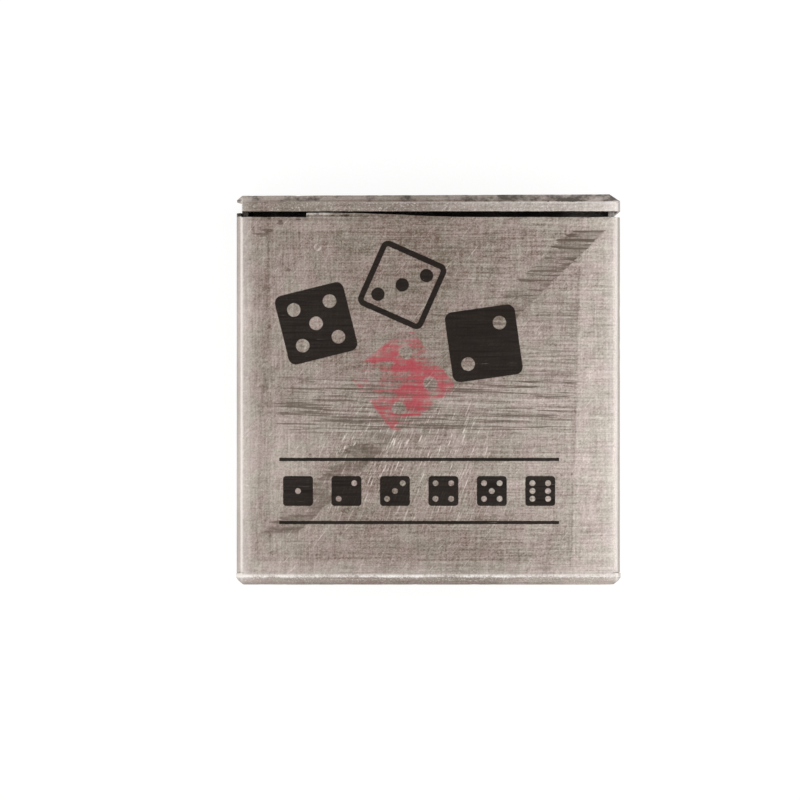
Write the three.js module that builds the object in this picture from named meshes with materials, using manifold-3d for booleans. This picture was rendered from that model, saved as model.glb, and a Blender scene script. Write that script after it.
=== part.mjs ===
// A dice game for two in a pocket case of folded sheet metal, in millimetres with +Z up.
// The case lies on its back. Its worn face looks up, and the drawer's end cap is towards +Y.
// The origin is at the centre of its footprint, on the surface it lies on.
import * as THREE from 'three';
import { mergeVertices } from 'three/addons/utils/BufferGeometryUtils.js';
import { RoundedBoxGeometry } from 'three/addons/geometries/RoundedBoxGeometry.js';
import Module from 'manifold-3d';

const wasm = await Module();
wasm.setup();

// The dice, four rows of four
const dieSize = 10;
const dieEdge = 0.8;
const dieGap = 0.3;
const pipRadius = 0.85;
const pipDepth = 0.45;
const pipPitchShare = 0.27;
const diceAcross = 4;
const diceAlong = 4;

// The folded leaflet under the dice, a little wider than their block
const paper = 0.12;
const paperGap = 0.05;
const leafletMargin = 1.5;
const leafletPanels = 4;

// Room for a fingertip beside and before the dice, and the slack over them
const sideRoom = 5.8;
const frontRoom = 7.25;
const headRoom = 0.67;

// The sheet metal that the case is folded from
const sheet = 0.4;
// Solder draws two sheets into each other by this much, so that a joint is one solid.
const solderBite = 0.02;
// The inner radius of the two slight bends that bevel an end
const bevelFold = 0.3;
// Cuts run past the face that they open by this much.
const overrun = 1;
// A strip that is added to a fold starts this far back on the flat.
const foldRoot = 1.5;

// The drawer's tray
const sideGap = 0.3;
const slideGap = 0.1;
const topGap = 0.15;
const endGap = 0.5;
const trayFold = 0.4;
const cornerGap = 0.15;
const trayTabReach = 5;

// The cap on the drawer's end
const capReach = 2.33;
const closingGap = 0.15;
const capFold = 0.45;
const capBevel = 1;
const capSideBevel = 0.7;
const capNotch = 0.75;
const capClipLeft = 0.8;
const capClipRight = 1.4;
const capClipRightDrop = 1.05;

// The sleeve's folds and its closed end
const sleeveFold = 0.8;
const endBevel = 1.15;
const reliefGap = 0.08;
const flapEar = 1.6;
const flapClip = 0.85;
const flapInset = 0.95;
const tabReach = 7;

// The lap seam down the sleeve's back
const seamGap = 0.15;
const seamLap = 5;
const joggleRun = 0.7;
const joggleFold = 0.1;

// The sleeve's mouth, from its left side: a nail slot, a stretch that is worn back, and a corner filed away
const slotLength = 9.1;
const slotDepth = 0.55;
const wearFrom = 12.2;
const wearTo = 31.7;
const wearDepth = 0.55;
const mouthCorner = 1.4;

// The small raised spot on the face
const pimpleRadius = 0.5;
const pimpleHeight = 0.12;
const pimpleFromLeft = 10.6;
const pimpleFromMouth = 4.5;

// Facets on round shapes
const bendSteps = 6;
const pipSides = 8;
const edgeSteps = 2;
const pimpleSides = 16;
const foldSteps = 6;
const wearSteps = 8;

// The outer radius of each fold, from its inner one
const trayBend = trayFold + sheet;
const capBend = capFold + sheet;
const sleeveBend = sleeveFold + sheet;
const bevelBend = bevelFold + sheet;
// How much lower a bevel's inner face lies than its outer one, beyond the sheet's thickness
const bevelDrop = (Math.SQRT2 - 1) * sheet;

// The case's size, from what it holds
const diePitch = dieSize + dieGap;
const blockWidth = diceAcross * diePitch - dieGap;
const blockLength = diceAlong * diePitch - dieGap;
const trayHalf = (dieGap + blockWidth + sideRoom) / 2 + 2 * sheet;
const halfWidth = trayHalf + sideGap + sheet;
const caseLength = 5 * sheet + endGap + dieGap + blockLength + frontRoom;
const yClosedEnd = -caseLength / 2;
const yCapEnd = caseLength / 2;
const yCapEdge = yCapEnd - capReach;
const yMouth = yCapEdge - closingGap;
const yEar = yClosedEnd + flapEar;
const yRelief = yEar + reliefGap;
const yTrayBack = yClosedEnd + 2 * sheet + endGap;
const yTrayFront = yCapEnd - sheet;
const leafletThickness = leafletPanels * paper + (leafletPanels - 1) * paperGap;
const zTray = 2 * sheet + slideGap;
const zLeaflet = zTray + sheet;
const zDice = zLeaflet + leafletThickness;
const caseDepth = zDice + dieSize + headRoom + sheet;
const zTrayTop = caseDepth - capBevel - bevelDrop - topGap;
const xContents = -trayHalf + 2 * sheet + dieGap;
const yContents = yTrayBack + sheet + dieGap;

// Finishes
const tinplate = { color: 0xb5a89d, roughness: 0.45, metalness: 0.85 };
const darkTin = { color: 0x8f867e, roughness: 0.5, metalness: 0.85 };
const ivory = { color: 0xe9dfc8, roughness: 0.35, metalness: 0 };
const red = { color: 0xa51f26, roughness: 0.3, metalness: 0 };
const whitePaper = { color: 0xe8e3d6, roughness: 0.9, metalness: 0 };

// Solids

function solid(geometry) {
  geometry.deleteAttribute('normal');
  geometry.deleteAttribute('uv');
  const welded = mergeVertices(geometry);
  return new wasm.Manifold(new wasm.Mesh({
    numProp: 3,
    vertProperties: welded.attributes.position.array,
    triVerts: new Uint32Array(welded.index.array),
  }));
}

function piece(name, body, finish) {
  const cut = body.getMesh();
  const geometry = new THREE.BufferGeometry();
  geometry.setAttribute('position', new THREE.BufferAttribute(cut.vertProperties, 3));
  geometry.setIndex(new THREE.BufferAttribute(cut.triVerts, 1));
  geometry.computeVertexNormals();
  const mesh = new THREE.Mesh(geometry, new THREE.MeshStandardMaterial(finish));
  mesh.name = name;
  return mesh;
}

const joined = (bodies) => bodies.reduce((whole, body) => whole.add(body));

const corner = (x, y, fold = 0) => ({ at: new THREE.Vector2(x, y), fold });

// Two corners that cut off the one at a place, where the sheet comes from one side and goes on to another
const bevel = (x, y, size, from, to) => [
  corner(x + from.x * size, y + from.y * size, bevelFold),
  corner(x + to.x * size, y + to.y * size, bevelFold),
];

const left = new THREE.Vector2(-1, 0);
const right = new THREE.Vector2(1, 0);
const down = new THREE.Vector2(0, -1);

const outlineOf = (pairs) => pairs.map(([x, y]) => new THREE.Vector2(x, y));

const mirrored = (outline) => outline.map((p) => new THREE.Vector2(-p.x, p.y));

const X = new THREE.Vector3(1, 0, 0);
const Y = new THREE.Vector3(0, 1, 0);
const Z = new THREE.Vector3(0, 0, 1);

// A prism along X of an outline in (y, z), along Y of one in (x, z), or along Z of one in (x, y).
function prism(axis, outline, from, to) {
  const section = axis === Y ? outline.map((p) => new THREE.Vector2(p.y, p.x)) : outline;
  const shape = new THREE.Shape(section);
  const geometry = new THREE.ExtrudeGeometry(shape, { depth: to - from, bevelEnabled: false });
  geometry.translate(0, 0, from);
  const turn = new THREE.Matrix4();
  if (axis === X) turn.makeBasis(Y, Z, X);
  if (axis === Y) turn.makeBasis(Z, X, Y);
  geometry.applyMatrix4(turn);
  return solid(geometry);
}

const rectangle = (x0, x1, y0, y1) => outlineOf([[x0, y0], [x1, y0], [x1, y1], [x0, y1]]);

// The section of a folded sheet. One face runs through the corners and the thickness lies to its left.
// A fold is the radius of the bend's inner side, whichever way the sheet is folded.
function foldedSheet(corners) {
  const outer = [];
  const inner = [];
  const put = (point, normal) => {
    outer.push(point);
    inner.unshift(point.clone().addScaledVector(normal, sheet));
  };
  const leftOf = (direction) => new THREE.Vector2(-direction.y, direction.x);
  corners.forEach(({ at, fold }, i) => {
    const before = corners[i - 1];
    const after = corners[i + 1];
    const into = before && at.clone().sub(before.at).normalize();
    const out = after && after.at.clone().sub(at).normalize();
    if (!into || !out) {
      put(at.clone(), leftOf(into || out));
      return;
    }
    const turn = Math.atan2(into.cross(out), into.dot(out));
    const side = Math.sign(turn);
    const radius = side > 0 ? fold + sheet : fold;
    const start = at.clone().addScaledVector(into, -radius * Math.tan(Math.abs(turn) / 2));
    const centre = start.clone().addScaledVector(leftOf(into), side * radius);
    const steps = Math.max(1, Math.round(bendSteps * Math.abs(turn) / (Math.PI / 2)));
    for (let step = 0; step <= steps; step += 1) {
      const normal = leftOf(into).rotateAround(new THREE.Vector2(), turn * step / steps);
      put(centre.clone().addScaledVector(normal, -side * radius), normal);
    }
  });
  return [...outer, ...inner];
}

// Sleeve

// The tube is one strip folded round four edges. Its two ends meet on the back at the lap seam.
function sleeveTube() {
  const seam = -seamLap / 2;
  const joggle = seam - seamGap - joggleRun;
  const wrap = foldedSheet([
    corner(seam, 0),
    corner(halfWidth, 0, sleeveFold),
    corner(halfWidth, caseDepth, sleeveFold),
    corner(-halfWidth, caseDepth, sleeveFold),
    corner(-halfWidth, 0, sleeveFold),
    corner(joggle, 0),
  ]);
  const lap = foldedSheet([
    corner(joggle - foldRoot, 0),
    corner(joggle, 0, joggleFold),
    corner(seam - seamGap, sheet - solderBite, joggleFold),
    corner(seam + seamLap, sheet - solderBite),
  ]);
  const yBackEdge = yClosedEnd + sheet + seamGap;
  const tube = prism(Y, wrap, yBackEdge, yMouth).add(prism(Y, lap, yBackEdge, yMouth));
  const relief = rectangle(halfWidth - sleeveBend, halfWidth + overrun, yClosedEnd, yRelief);
  return tube
    .subtract(prism(Z, relief, -overrun, caseDepth + overrun))
    .subtract(prism(Z, mirrored(relief), -overrun, caseDepth + overrun));
}

// Each side wall ends in a tab, folded round the corner behind the end flap and below its bevel.
function wallTabs() {
  const yTab = yClosedEnd + sheet - solderBite;
  const tab = foldedSheet([
    corner(halfWidth - sleeveBend - tabReach, yTab),
    corner(halfWidth, yTab, sleeveFold),
    corner(halfWidth, yRelief + foldRoot),
  ]);
  const zTabTop = caseDepth - endBevel - sheet;
  return [tab, mirrored(tab)].map((outline) => prism(Z, outline, sleeveBend, zTabTop));
}

// The flap that closes the end folds down from the face in two slight bends. Its corners are clipped there.
function endFlap() {
  const fold = foldedSheet([
    corner(yRelief + foldRoot, caseDepth),
    ...bevel(yClosedEnd, caseDepth, endBevel, right, down),
    corner(yClosedEnd, 0),
  ]);
  const flat = halfWidth - sleeveBend;
  const plan = outlineOf([
    [flat, yRelief + foldRoot],
    [flat, yEar],
    [halfWidth, yEar],
    [halfWidth, yClosedEnd + flapClip],
    [halfWidth - flapClip, yClosedEnd],
  ]);
  const front = outlineOf([
    [halfWidth, caseDepth],
    [halfWidth, caseDepth - sheet],
    [halfWidth - flapInset, caseDepth - sleeveBend],
    [halfWidth - flapInset, 0],
  ]);
  const whole = (half) => [...half, ...mirrored(half).reverse()];
  return prism(X, fold, -halfWidth, halfWidth)
    .intersect(prism(Z, whole(plan), 0, caseDepth))
    .intersect(prism(Y, whole(front), yClosedEnd, yRelief + foldRoot));
}

// What is cut or worn away from the mouth, seen from above
function mouthCuts() {
  const beyond = yMouth + overrun;
  const slot = rectangle(-halfWidth - overrun, slotLength - halfWidth, yMouth - slotDepth, beyond);
  const start = new THREE.Vector2(wearFrom - halfWidth, yMouth);
  const bow = new THREE.Vector2((wearFrom + wearTo) / 2 - halfWidth, yMouth - wearDepth);
  const end = new THREE.Vector2(wearTo - halfWidth, yMouth - wearDepth);
  const wear = [
    new THREE.Vector2(start.x, beyond),
    ...new THREE.QuadraticBezierCurve(start, bow, end).getPoints(wearSteps),
    new THREE.Vector2(halfWidth + overrun, yMouth - wearDepth),
    new THREE.Vector2(halfWidth + overrun, beyond),
  ];
  const filed = rectangle(halfWidth - mouthCorner, halfWidth + overrun, yMouth - wearDepth, beyond);
  return [
    prism(Z, slot, caseDepth - sleeveBend, caseDepth + overrun),
    prism(Z, wear, caseDepth - sleeveBend, caseDepth + overrun),
    prism(Z, filed, -overrun, caseDepth + overrun),
  ];
}

function pimple() {
  const round = (pimpleRadius ** 2 + pimpleHeight ** 2) / (2 * pimpleHeight);
  const sweep = Math.asin(pimpleRadius / round);
  const dome = new THREE.Path();
  dome.moveTo(0, -sheet / 2);
  dome.lineTo(pimpleRadius, -sheet / 2);
  dome.absarc(0, pimpleHeight - round, round, Math.PI / 2 - sweep, Math.PI / 2, false);
  dome.lineTo(0, -sheet / 2);
  const geometry = new THREE.LatheGeometry(dome.getPoints(foldSteps), pimpleSides);
  geometry.rotateX(Math.PI / 2);
  geometry.translate(pimpleFromLeft - halfWidth, yMouth - pimpleFromMouth, caseDepth);
  return solid(geometry);
}

function sleeve() {
  const folded = joined([sleeveTube(), ...wallTabs(), endFlap(), pimple()]);
  const cut = mouthCuts().reduce((body, tool) => body.subtract(tool), folded);
  return piece('sleeve', cut, tinplate);
}

// Tray

// The tray's side walls stand on its floor, and its end walls have tabs that lap inside them.
function tray() {
  const sides = foldedSheet([
    corner(-trayHalf, zTrayTop),
    corner(-trayHalf, zTray, trayFold),
    corner(trayHalf, zTray, trayFold),
    corner(trayHalf, zTrayTop),
  ]);
  const zRoot = zTray + trayBend + foldRoot;
  const ends = foldedSheet([
    corner(yTrayBack, zRoot),
    corner(yTrayBack, zTray, trayFold),
    corner(yTrayFront, zTray, trayFold),
    corner(yTrayFront, zRoot),
  ]);
  const lapped = trayHalf - sheet + solderBite;
  const endWall = foldedSheet([
    corner(-lapped, yTrayBack + trayTabReach),
    corner(-lapped, yTrayBack, trayFold),
    corner(lapped, yTrayBack, trayFold),
    corner(lapped, yTrayBack + trayTabReach),
  ]);
  const middle = (yTrayBack + yTrayFront) / 2;
  const otherEnd = endWall.map((p) => new THREE.Vector2(p.x, 2 * middle - p.y));
  const inset = trayBend + cornerGap;
  return piece('tray', joined([
    prism(Y, sides, yTrayBack + inset, yTrayFront - inset),
    prism(X, ends, -trayHalf + inset, trayHalf - inset),
    prism(Z, endWall, zTray + trayBend, zTrayTop),
    prism(Z, otherEnd, zTray + trayBend, zTrayTop),
  ]), darkTin);
}

// End cap

// A channel over the case's end, closed by a lip down its right side and cut back at its left corner
function endCap() {
  const channel = foldedSheet([
    corner(yCapEdge, 0),
    corner(yCapEnd, 0, capFold),
    ...bevel(yCapEnd, caseDepth, capBevel, down, left),
    corner(yCapEdge, caseDepth),
  ]);
  const xFlat = halfWidth - capSideBevel - bevelBend;
  const plan = outlineOf([
    [capNotch - halfWidth, yCapEdge],
    [xFlat, yCapEdge],
    [xFlat, yCapEnd - capClipRightDrop],
    [halfWidth, yCapEnd - capClipRightDrop],
    [halfWidth - capClipRight, yCapEnd],
    [capClipLeft - halfWidth, yCapEnd],
    [-halfWidth, yCapEnd - capClipLeft],
    [capNotch - halfWidth, yCapEnd - capClipLeft],
  ]);
  const lip = foldedSheet([
    corner(xFlat - foldRoot, 0),
    corner(halfWidth, 0, capFold),
    ...bevel(halfWidth, caseDepth, capSideBevel, down, left),
    corner(xFlat - foldRoot, caseDepth),
  ]);
  return piece('end_cap', joined([
    prism(X, channel, -halfWidth, halfWidth).intersect(prism(Z, plan, 0, caseDepth)),
    prism(Y, lip, yCapEdge, yCapEnd - capClipRightDrop),
  ]), tinplate);
}

// Dice

// The places of a face's pips on a grid of three by three, by the number that the face shows
const pipGrid = {
  1: [[0, 0]],
  2: [[-1, -1], [1, 1]],
  3: [[-1, -1], [0, 0], [1, 1]],
  4: [[-1, -1], [-1, 1], [1, -1], [1, 1]],
  5: [[-1, -1], [-1, 1], [0, 0], [1, -1], [1, 1]],
  6: [[-1, -1], [-1, 0], [-1, 1], [1, -1], [1, 0], [1, 1]],
};

// How the cube turns to bring each number up. Numbers on opposite faces add up to seven.
const quarter = Math.PI / 2;
const faceTurn = {
  1: new THREE.Euler(0, 0, 0),
  2: new THREE.Euler(quarter, 0, 0),
  3: new THREE.Euler(0, -quarter, 0),
  4: new THREE.Euler(0, quarter, 0),
  5: new THREE.Euler(-quarter, 0, 0),
  6: new THREE.Euler(2 * quarter, 0, 0),
};

function pipCutter() {
  const profile = outlineOf([[0, -pipDepth], [pipRadius, 0], [pipRadius, overrun], [0, overrun]]);
  const geometry = new THREE.LatheGeometry(profile, pipSides);
  geometry.rotateX(quarter);
  return solid(geometry);
}

function dieBody() {
  const cutter = pipCutter();
  let body = solid(new RoundedBoxGeometry(dieSize, dieSize, dieSize, edgeSteps, dieEdge));
  for (const [number, places] of Object.entries(pipGrid)) {
    const turn = new THREE.Matrix4().makeRotationFromEuler(faceTurn[number]);
    for (const [column, row] of places) {
      const pitch = pipPitchShare * dieSize;
      const at = new THREE.Matrix4().makeTranslation(column * pitch, row * pitch, dieSize / 2);
      body = body.subtract(cutter.transform(turn.clone().multiply(at).elements));
    }
  }
  return body;
}

// Four rows of four, pushed into the tray's left back corner. Each row of a colour shows other numbers up.
function dice() {
  const body = dieBody();
  const group = new THREE.Group();
  group.position.set(xContents, yContents, zDice).addScalar(dieSize / 2);
  for (let row = 0; row < diceAlong; row += 1) {
    for (let column = 0; column < diceAcross; column += 1) {
      const isRed = row >= diceAlong / 2;
      const place = (row * diceAcross + column) % (diceAlong * diceAcross / 2) + 1;
      const die = piece(`${isRed ? 'red' : 'ivory'}_die_${place}`, body, isRed ? red : ivory);
      const up = (row * 2 + column * 5) % 6 + 1;
      die.rotation.copy(faceTurn[up]);
      die.position.set(column * diePitch, row * diePitch, 0);
      group.add(die);
    }
  }
  return group;
}

// Leaflet

// One strip of paper, folded to and fro in panels that lie on each other
function leaflet() {
  const step = paper + paperGap;
  const fold = step / 2;
  const half = (blockLength + leafletMargin) / 2;
  const yMiddle = yContents + half;
  const middle = [];
  const normals = [];
  for (let panel = 0; panel < leafletPanels; panel += 1) {
    const way = panel % 2 ? -1 : 1;
    const z = zLeaflet + paper / 2 + panel * step;
    middle.push(new THREE.Vector2(yMiddle - way * (half - paper - fold), z));
    normals.push(new THREE.Vector2(0, way));
    const steps = panel < leafletPanels - 1 ? foldSteps : 0;
    for (let k = 0; k <= steps; k += 1) {
      const angle = steps ? Math.PI * k / steps : 0;
      const turn = new THREE.Vector2(way * Math.sin(angle), -Math.cos(angle));
      const y = yMiddle + way * (half - paper - fold);
      middle.push(new THREE.Vector2(y + turn.x * fold, z + fold + turn.y * fold));
      normals.push(new THREE.Vector2(-turn.x, -turn.y).multiplyScalar(way));
    }
  }
  const side = (sign) => middle.map((p, i) => p.clone().addScaledVector(normals[i], sign * paper / 2));
  const outline = [...side(-1), ...side(1).reverse()];
  const xLeafletEnd = xContents + blockWidth + leafletMargin;
  return piece('rules_leaflet', prism(X, outline, xContents, xLeafletEnd), whitePaper);
}

const drawer = new THREE.Group();
drawer.add(tray(), endCap(), leaflet(), dice());

const game = new THREE.Group();
game.add(sleeve(), drawer);

export default game;
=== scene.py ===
"""A dice game for two in a worn pocket case of folded sheet metal.

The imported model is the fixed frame. Every piece here is made in metres, where the frame has its node.
"""

import math

import bmesh
import bpy
from mathutils import Euler, Matrix, Vector, noise


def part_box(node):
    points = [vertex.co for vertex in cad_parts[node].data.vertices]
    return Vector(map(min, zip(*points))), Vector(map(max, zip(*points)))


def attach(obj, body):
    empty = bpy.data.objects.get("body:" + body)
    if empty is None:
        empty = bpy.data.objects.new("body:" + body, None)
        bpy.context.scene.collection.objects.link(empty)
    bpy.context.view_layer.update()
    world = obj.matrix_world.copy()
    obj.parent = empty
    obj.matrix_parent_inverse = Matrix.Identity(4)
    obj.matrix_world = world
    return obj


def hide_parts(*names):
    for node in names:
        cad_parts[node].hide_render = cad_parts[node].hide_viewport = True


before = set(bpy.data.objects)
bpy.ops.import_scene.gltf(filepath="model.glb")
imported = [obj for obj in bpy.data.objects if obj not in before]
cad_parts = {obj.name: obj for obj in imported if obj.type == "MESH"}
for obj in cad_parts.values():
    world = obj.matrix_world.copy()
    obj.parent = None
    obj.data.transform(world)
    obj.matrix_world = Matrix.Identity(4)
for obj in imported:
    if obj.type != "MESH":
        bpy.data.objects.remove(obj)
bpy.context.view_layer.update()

MM = 0.001

# The frame's boxes give the sizes of the pieces
sleeve_low, sleeve_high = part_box("sleeve")
cap_low, cap_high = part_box("end_cap")
tray_low, tray_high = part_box("tray")
leaflet_low, leaflet_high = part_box("rules_leaflet")

HALF_WIDTH = sleeve_high.x
DEPTH = cap_high.z
Y_CLOSED = sleeve_low.y
Y_MOUTH = sleeve_high.y
Y_CAP_EDGE = cap_low.y
Y_CAP_END = cap_high.y

# Sheet metal
SHEET = 0.4 * MM
SLEEVE_BEND = 1.2 * MM
END_BEVEL = 1.15 * MM
BEVEL_ROUND = 0.3 * MM
RELIEF_GAP = 0.08 * MM
FLAP_EAR = 1.6 * MM
Y_EAR = Y_CLOSED + FLAP_EAR
Y_RELIEF = Y_EAR + RELIEF_GAP
RIM_ROUND = 0.07 * MM
CELL = 0.9 * MM
FINE_CELL = 0.45 * MM
STEP = 0.05 * MM
BEND_STEPS = 14
SHARP_ANGLE = math.radians(40)
CUT_ANGLE = math.radians(50)

# The sleeve's closed end and its lap seam
FLAP_CLIP = 0.85 * MM
FLAP_INSET = 0.95 * MM
TAB_REACH = 7 * MM
SEAM_GAP = 0.15 * MM
SEAM_LAP = 5 * MM
JOGGLE_RUN = 0.7 * MM
JOGGLE_BEND = 0.5 * MM

# The sleeve's mouth
SLOT_LENGTH = 9.1 * MM
SLOT_DEPTH = 0.55 * MM
SLOT_CORNER = 0.15 * MM
WEAR_FROM = 12.2 * MM
WEAR_TO = 31.7 * MM
WEAR_DEPTH = 0.55 * MM
MOUTH_CORNER = 1.4 * MM
MOUTH_ROWS = 1.2 * MM
PIMPLE_RADIUS = 0.5 * MM
PIMPLE_HEIGHT = 0.12 * MM
PIMPLE_FROM_LEFT = 10.6 * MM
PIMPLE_FROM_MOUTH = 4.5 * MM
PIMPLE_ANGLE = math.radians(60)

# The end cap
CAP_BEND = 0.85 * MM
CAP_BEVEL = 1.0 * MM
CAP_SIDE_BEVEL = 0.7 * MM
X_CAP_FLAT = HALF_WIDTH - CAP_SIDE_BEVEL - BEVEL_ROUND
CAP_NOTCH = 0.75 * MM
CAP_CLIP_LEFT = 0.8 * MM
CAP_CLIP_RIGHT = 1.4 * MM
CAP_CLIP_RIGHT_DROP = 1.05 * MM

# The tray
TRAY_BEND = 0.8 * MM
TRAY_CORNER_GAP = 0.15 * MM
TRAY_TAB_REACH = 5 * MM

# The dice and the leaflet
DIE_EDGE = 0.8 * MM
DIE_EDGE_STEPS = 6
PIP_RADIUS = 0.85 * MM
PIP_DEPTH = 0.45 * MM
PIP_PITCH_SHARE = 0.27
PIP_STEPS = (28, 20)
PAPER = 0.12 * MM
PAPER_GAP = 0.05 * MM
PAPER_PANELS = 4
PAPER_CURL = 0.35 * MM
# The share of the paper's thickness that is drawn
PAPER_DRAWN = 0.96

# Wear of the sheets, in millimetres. A wave is (depth, turns to the millimetre, shift of the noise).
DENT_DEPTH = 0.07
DENT_WAVES = ((0.05, 0.07, 3.1), (0.025, 0.23, 7.7), (0.012, 0.6, 4.4))
DENT_FROM_EDGE = 1.2
DENT_FADE = 6
KNOCK_DEPTH = 0.03
NICK_DEPTH = 0.09
FRAY_DEPTH = 0.03
CAP_LEAN = 0.2
CAP_LEAN_RUN = 1.4

# The photograph's view. It looks straight down, off the case's middle.
VIEW_WIDTH = 104 * MM
VIEW_CENTRE = Vector((-3.69 * MM, -1.37 * MM, 0))
LENS = 110
SENSOR = 36

# The lamps, as (azimuth, elevation, watts), and the pale surroundings
LAMPS = {"left_lamp": (270, 42, 0.3), "right_lamp": (90, 42, 0.4), "near_lamp": (0, 50, 0.3)}
LAMP_DISTANCE = 0.6
LAMP_SIZE = 0.35
SKY_STRENGTH = 0.6
FLOOR_SIZE = 4.0
FLOOR_PLAIN = (0.8, 0.8, 0.8, 1)
FLOOR_FAINT = (0.3, 0.3, 0.3, 1)
FLOOR_GLOW = 0.82


# Folded sheets

def turned(vector, angle):
    return Vector((vector.x * math.cos(angle) - vector.y * math.sin(angle),
                   vector.x * math.sin(angle) + vector.y * math.cos(angle)))


def folded_line(corners, cuts=(), cell=CELL):
    """Points of one face of a folded strip. A corner is (x, y, radius) on that face.

    The flats between the bends are divided into cells, with a point at each cut that lies on them.
    """
    points = []
    for i, (x, y, radius) in enumerate(corners):
        at = Vector((x, y))
        before = Vector(corners[i - 1][:2]) if i else None
        after = Vector(corners[i + 1][:2]) if i + 1 < len(corners) else None
        bend = [at]
        if before is not None and after is not None and radius:
            into = (at - before).normalized()
            out = (after - at).normalized()
            turn = math.atan2(into.x * out.y - into.y * out.x, into.dot(out))
            side = math.copysign(1, turn)
            left = turned(into, math.pi / 2)
            start = at - into * radius * math.tan(abs(turn) / 2)
            centre = start + left * side * radius
            steps = max(2, round(BEND_STEPS * abs(turn) / (math.pi / 2)))
            bend = [centre - turned(left, turn * k / steps) * side * radius for k in range(steps + 1)]
        if points:
            points.extend(flat_points(points[-1], bend[0], cuts, cell))
        points.extend(bend)
    return points


def flat_points(start, end, cuts, cell):
    """The points between two ends of a flat: at its cuts, and evenly between those."""
    run = end - start
    length = run.length
    if length < STEP:
        return []
    stops = [0, 1]
    for cut in cuts:
        share = (Vector(cut) - start).dot(run) / length ** 2
        off = (Vector(cut) - start - run * share).length
        if STEP / length < share < 1 - STEP / length and off < STEP / 10:
            stops.append(share)
    stops = sorted(set(stops))
    shares = []
    for low, high in zip(stops, stops[1:]):
        parts = max(1, math.ceil((high - low) * length / cell))
        shares.extend(low + (high - low) * k / parts for k in range(1, parts + 1))
    return [start + run * share for share in shares[:-1]]


def spread(low, high, cell=CELL):
    """Evenly spread values from low to high, both included."""
    parts = max(1, math.ceil(abs(high - low) / cell))
    return [low + (high - low) * k / parts for k in range(parts + 1)]


def object_of(name, bm, slots=1):
    """A new object from a bmesh, with empty material slots that paint() fills."""
    mesh = bpy.data.meshes.new(name)
    bm.to_mesh(mesh)
    bm.free()
    for _ in range(slots):
        mesh.materials.append(None)
    obj = bpy.data.objects.new(name, mesh)
    bpy.context.scene.collection.objects.link(obj)
    return obj


def paint(obj, *materials):
    for index, material in enumerate(materials):
        obj.data.materials[index] = material


class SheetMetal:
    """Grids of points that share their edges, which become one folded sheet with a thickness."""

    def __init__(self):
        self.mesh = bmesh.new()

    def grid(self, rows):
        """Rows of points, all of one length."""
        vertices = [[self.mesh.verts.new(point) for point in row] for row in rows]
        for here, there in zip(vertices, vertices[1:]):
            for k in range(len(here) - 1):
                self.mesh.faces.new((here[k], here[k + 1], there[k + 1], there[k]))

    def add(self, line, runs, place):
        """A grid over a line of points and a list of runs, each point given by place(point, run)."""
        self.grid([[place(point, run) for point in line] for run in runs])

    def piece(self, name, outward, relief=None, inner_slot=0):
        """The finished object. outward is the way its outermost face looks."""
        bm = self.mesh
        bmesh.ops.remove_doubles(bm, verts=bm.verts, dist=STEP / 20)
        bmesh.ops.dissolve_degenerate(bm, edges=bm.edges, dist=STEP / 40)
        bmesh.ops.recalc_face_normals(bm, faces=bm.faces)
        probe = max(bm.faces, key=lambda face: face.calc_center_median().dot(outward) + face.calc_area())
        if probe.normal.dot(outward) < 0:
            bmesh.ops.reverse_faces(bm, faces=bm.faces)
        bm.normal_update()
        if relief:
            moves = [vertex.normal * relief(vertex.co) for vertex in bm.verts]
            for vertex, move in zip(bm.verts, moves):
                vertex.co += move
        obj = object_of(name, bm, slots=inner_slot + 1)
        solid = obj.modifiers.new("thickness", "SOLIDIFY")
        solid.thickness = SHEET
        solid.offset = -1
        solid.use_even_offset = False
        solid.material_offset = inner_slot
        round_rims(obj)
        obj = baked(obj)
        # Nothing dips through the floor that the case lies on
        for vertex in obj.data.vertices:
            vertex.co.z = max(0, vertex.co.z)
        return obj


def round_rims(obj):
    """Rounds the cut edges of the sheet."""
    bevel = obj.modifiers.new("rims", "BEVEL")
    bevel.width = RIM_ROUND
    bevel.segments = 2
    bevel.limit_method = "ANGLE"
    bevel.angle_limit = CUT_ANGLE
    bevel.use_clamp_overlap = True
    bevel.miter_outer = "MITER_ARC"


def with_modifiers(obj):
    """Makes the modifiers part of the mesh."""
    graph = bpy.context.evaluated_depsgraph_get()
    obj.data = bpy.data.meshes.new_from_object(obj.evaluated_get(graph))
    obj.modifiers.clear()


def baked(obj):
    """The object with its modifiers in its mesh, smooth but for sharp edges. Its flats look flat."""
    with_modifiers(obj)
    obj.data.shade_smooth()
    obj.data.set_sharp_from_angle(angle=SHARP_ANGLE)
    weighted = obj.modifiers.new("normals", "WEIGHTED_NORMAL")
    weighted.keep_sharp = True
    with_modifiers(obj)
    return obj


def wave(at, turns, shift=0.0):
    """A smooth noise from -1 to 1 at a place in millimetres, with so many turns to the millimetre."""
    return noise.noise(at * turns + Vector((shift, shift * 1.3, shift * 0.7)))


def nicks(at, shift):
    """How deep an edge is knocked in, in millimetres: long shallow knocks and short deep nicks."""
    knock = KNOCK_DEPTH * max(0, wave(at, 0.55, shift))
    return knock + NICK_DEPTH * max(0, wave(at, 1.5, shift + 5) - 0.3)


def case_relief(point):
    """How far the sleeve's sheet is dented in, as a negative height in metres."""
    at = point / MM
    inside = edge_fade(at)
    hollow = sum((depth * wave(at, turns, shift) for depth, turns, shift in DENT_WAVES), DENT_DEPTH)
    return -(hollow * inside + nicks(at, 2.0) * (1 - inside)) * MM


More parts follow.
